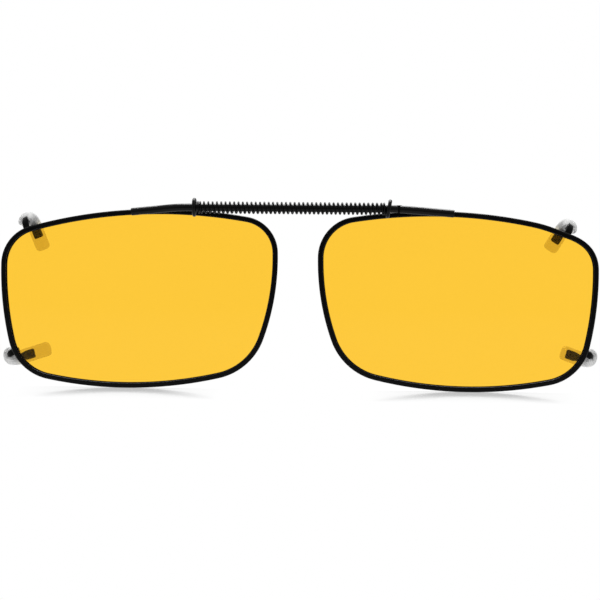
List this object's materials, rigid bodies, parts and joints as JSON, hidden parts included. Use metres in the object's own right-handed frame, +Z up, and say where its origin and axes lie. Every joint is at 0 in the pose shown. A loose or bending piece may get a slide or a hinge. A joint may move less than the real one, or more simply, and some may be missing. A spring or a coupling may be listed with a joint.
{
  "type": "spring bridge clip-on lenses",
  "caption": "Clip-on tinted lenses in thin wire rims, joined by a sprung telescoping bridge, with sleeved hooks that grip the spectacles worn behind.",
  "frame": {"origin": "middle of the spectacle front that the hooks hold, level with the lens centres", "axes": "+X across to the right as seen from the front, +Y backwards to the wearer, +Z up as worn"},
  "size_m": [0.1235, 0.0124, 0.0392],
  "materials": {
    "frame_black": "semi-gloss black enamel on wire",
    "lens_tint": "polished clear yellow sheet",
    "sleeve_clear": "soft clear vinyl, slightly cloudy",
    "spring_wire": "blackened spring wire"
  },
  "bodies": {
    "left_half": {"left_rim": "frame_black", "left_lens": "lens_tint", "left_bridge_rod": "frame_black", "left_upper_hook": "frame_black", "left_upper_sleeve": "sleeve_clear", "left_lower_hook": "frame_black", "left_lower_sleeve": "sleeve_clear", "right_spring_stop": "frame_black", "bridge_spring": "spring_wire"},
    "right_half": {"right_rim": "frame_black", "right_lens": "lens_tint", "right_bridge_rod": "frame_black", "right_upper_hook": "frame_black", "right_upper_sleeve": "sleeve_clear", "right_lower_hook": "frame_black", "right_lower_sleeve": "sleeve_clear", "left_spring_stop": "frame_black"}
  },
  "joints": [
    {"name": "bridge_slide", "type": "slide", "parent": "left_half", "child": "right_half", "axis": [1, 0, 0], "range_m": [0, 0.012], "stiffness_N_per_m": 120, "springref_m": -0.004, "deforming": ["bridge_spring"]}
  ]
}
